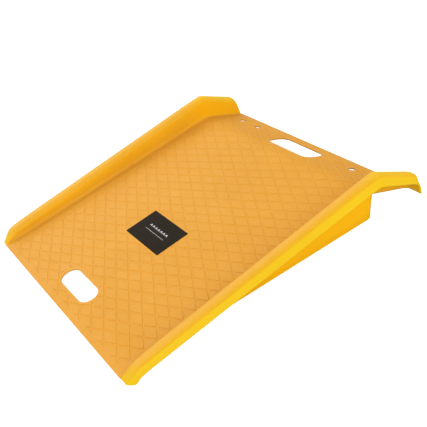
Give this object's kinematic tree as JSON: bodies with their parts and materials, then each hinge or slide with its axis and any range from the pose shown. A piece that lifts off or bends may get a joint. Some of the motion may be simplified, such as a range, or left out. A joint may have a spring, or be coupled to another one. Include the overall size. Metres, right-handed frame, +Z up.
{
  "type": "kerb ramp",
  "caption": "Low moulded ramp for hand trucks, with a treaded deck, raised side rails, and a bent-down lip with a hand hole that rests on the kerb.",
  "frame": {"origin": "middle of the ramp's footprint, on the road", "axes": "+Z up, +Y up the deck from the ground edge towards the kerb, +X to the right when going up"},
  "size_m": [0.686, 0.718, 0.1226],
  "materials": {
    "shell": "satin moulded polyethylene, safety yellow",
    "label": "black printed film, satin"
  },
  "bodies": {
    "root": {"deck_nose": "shell", "deck_plate": "shell", "deck_bend": "shell", "kerb_lip": "shell", "rear_wall": "shell", "left_rail": "shell", "right_rail": "shell", "left_flange": "shell", "right_flange": "shell", "left_toe": "shell", "right_toe": "shell", "left_heel": "shell", "right_heel": "shell", "left_skirt": "shell", "right_skirt": "shell", "long_rib_1": "shell", "long_rib_2": "shell", "long_rib_3": "shell", "long_rib_4": "shell", "long_rib_5": "shell", "cross_rib_1": "shell", "cross_rib_2": "shell", "cross_rib_3": "shell", "cross_rib_4": "shell", "cross_rib_5": "shell", "label": "label"}
  },
  "joints": []
}
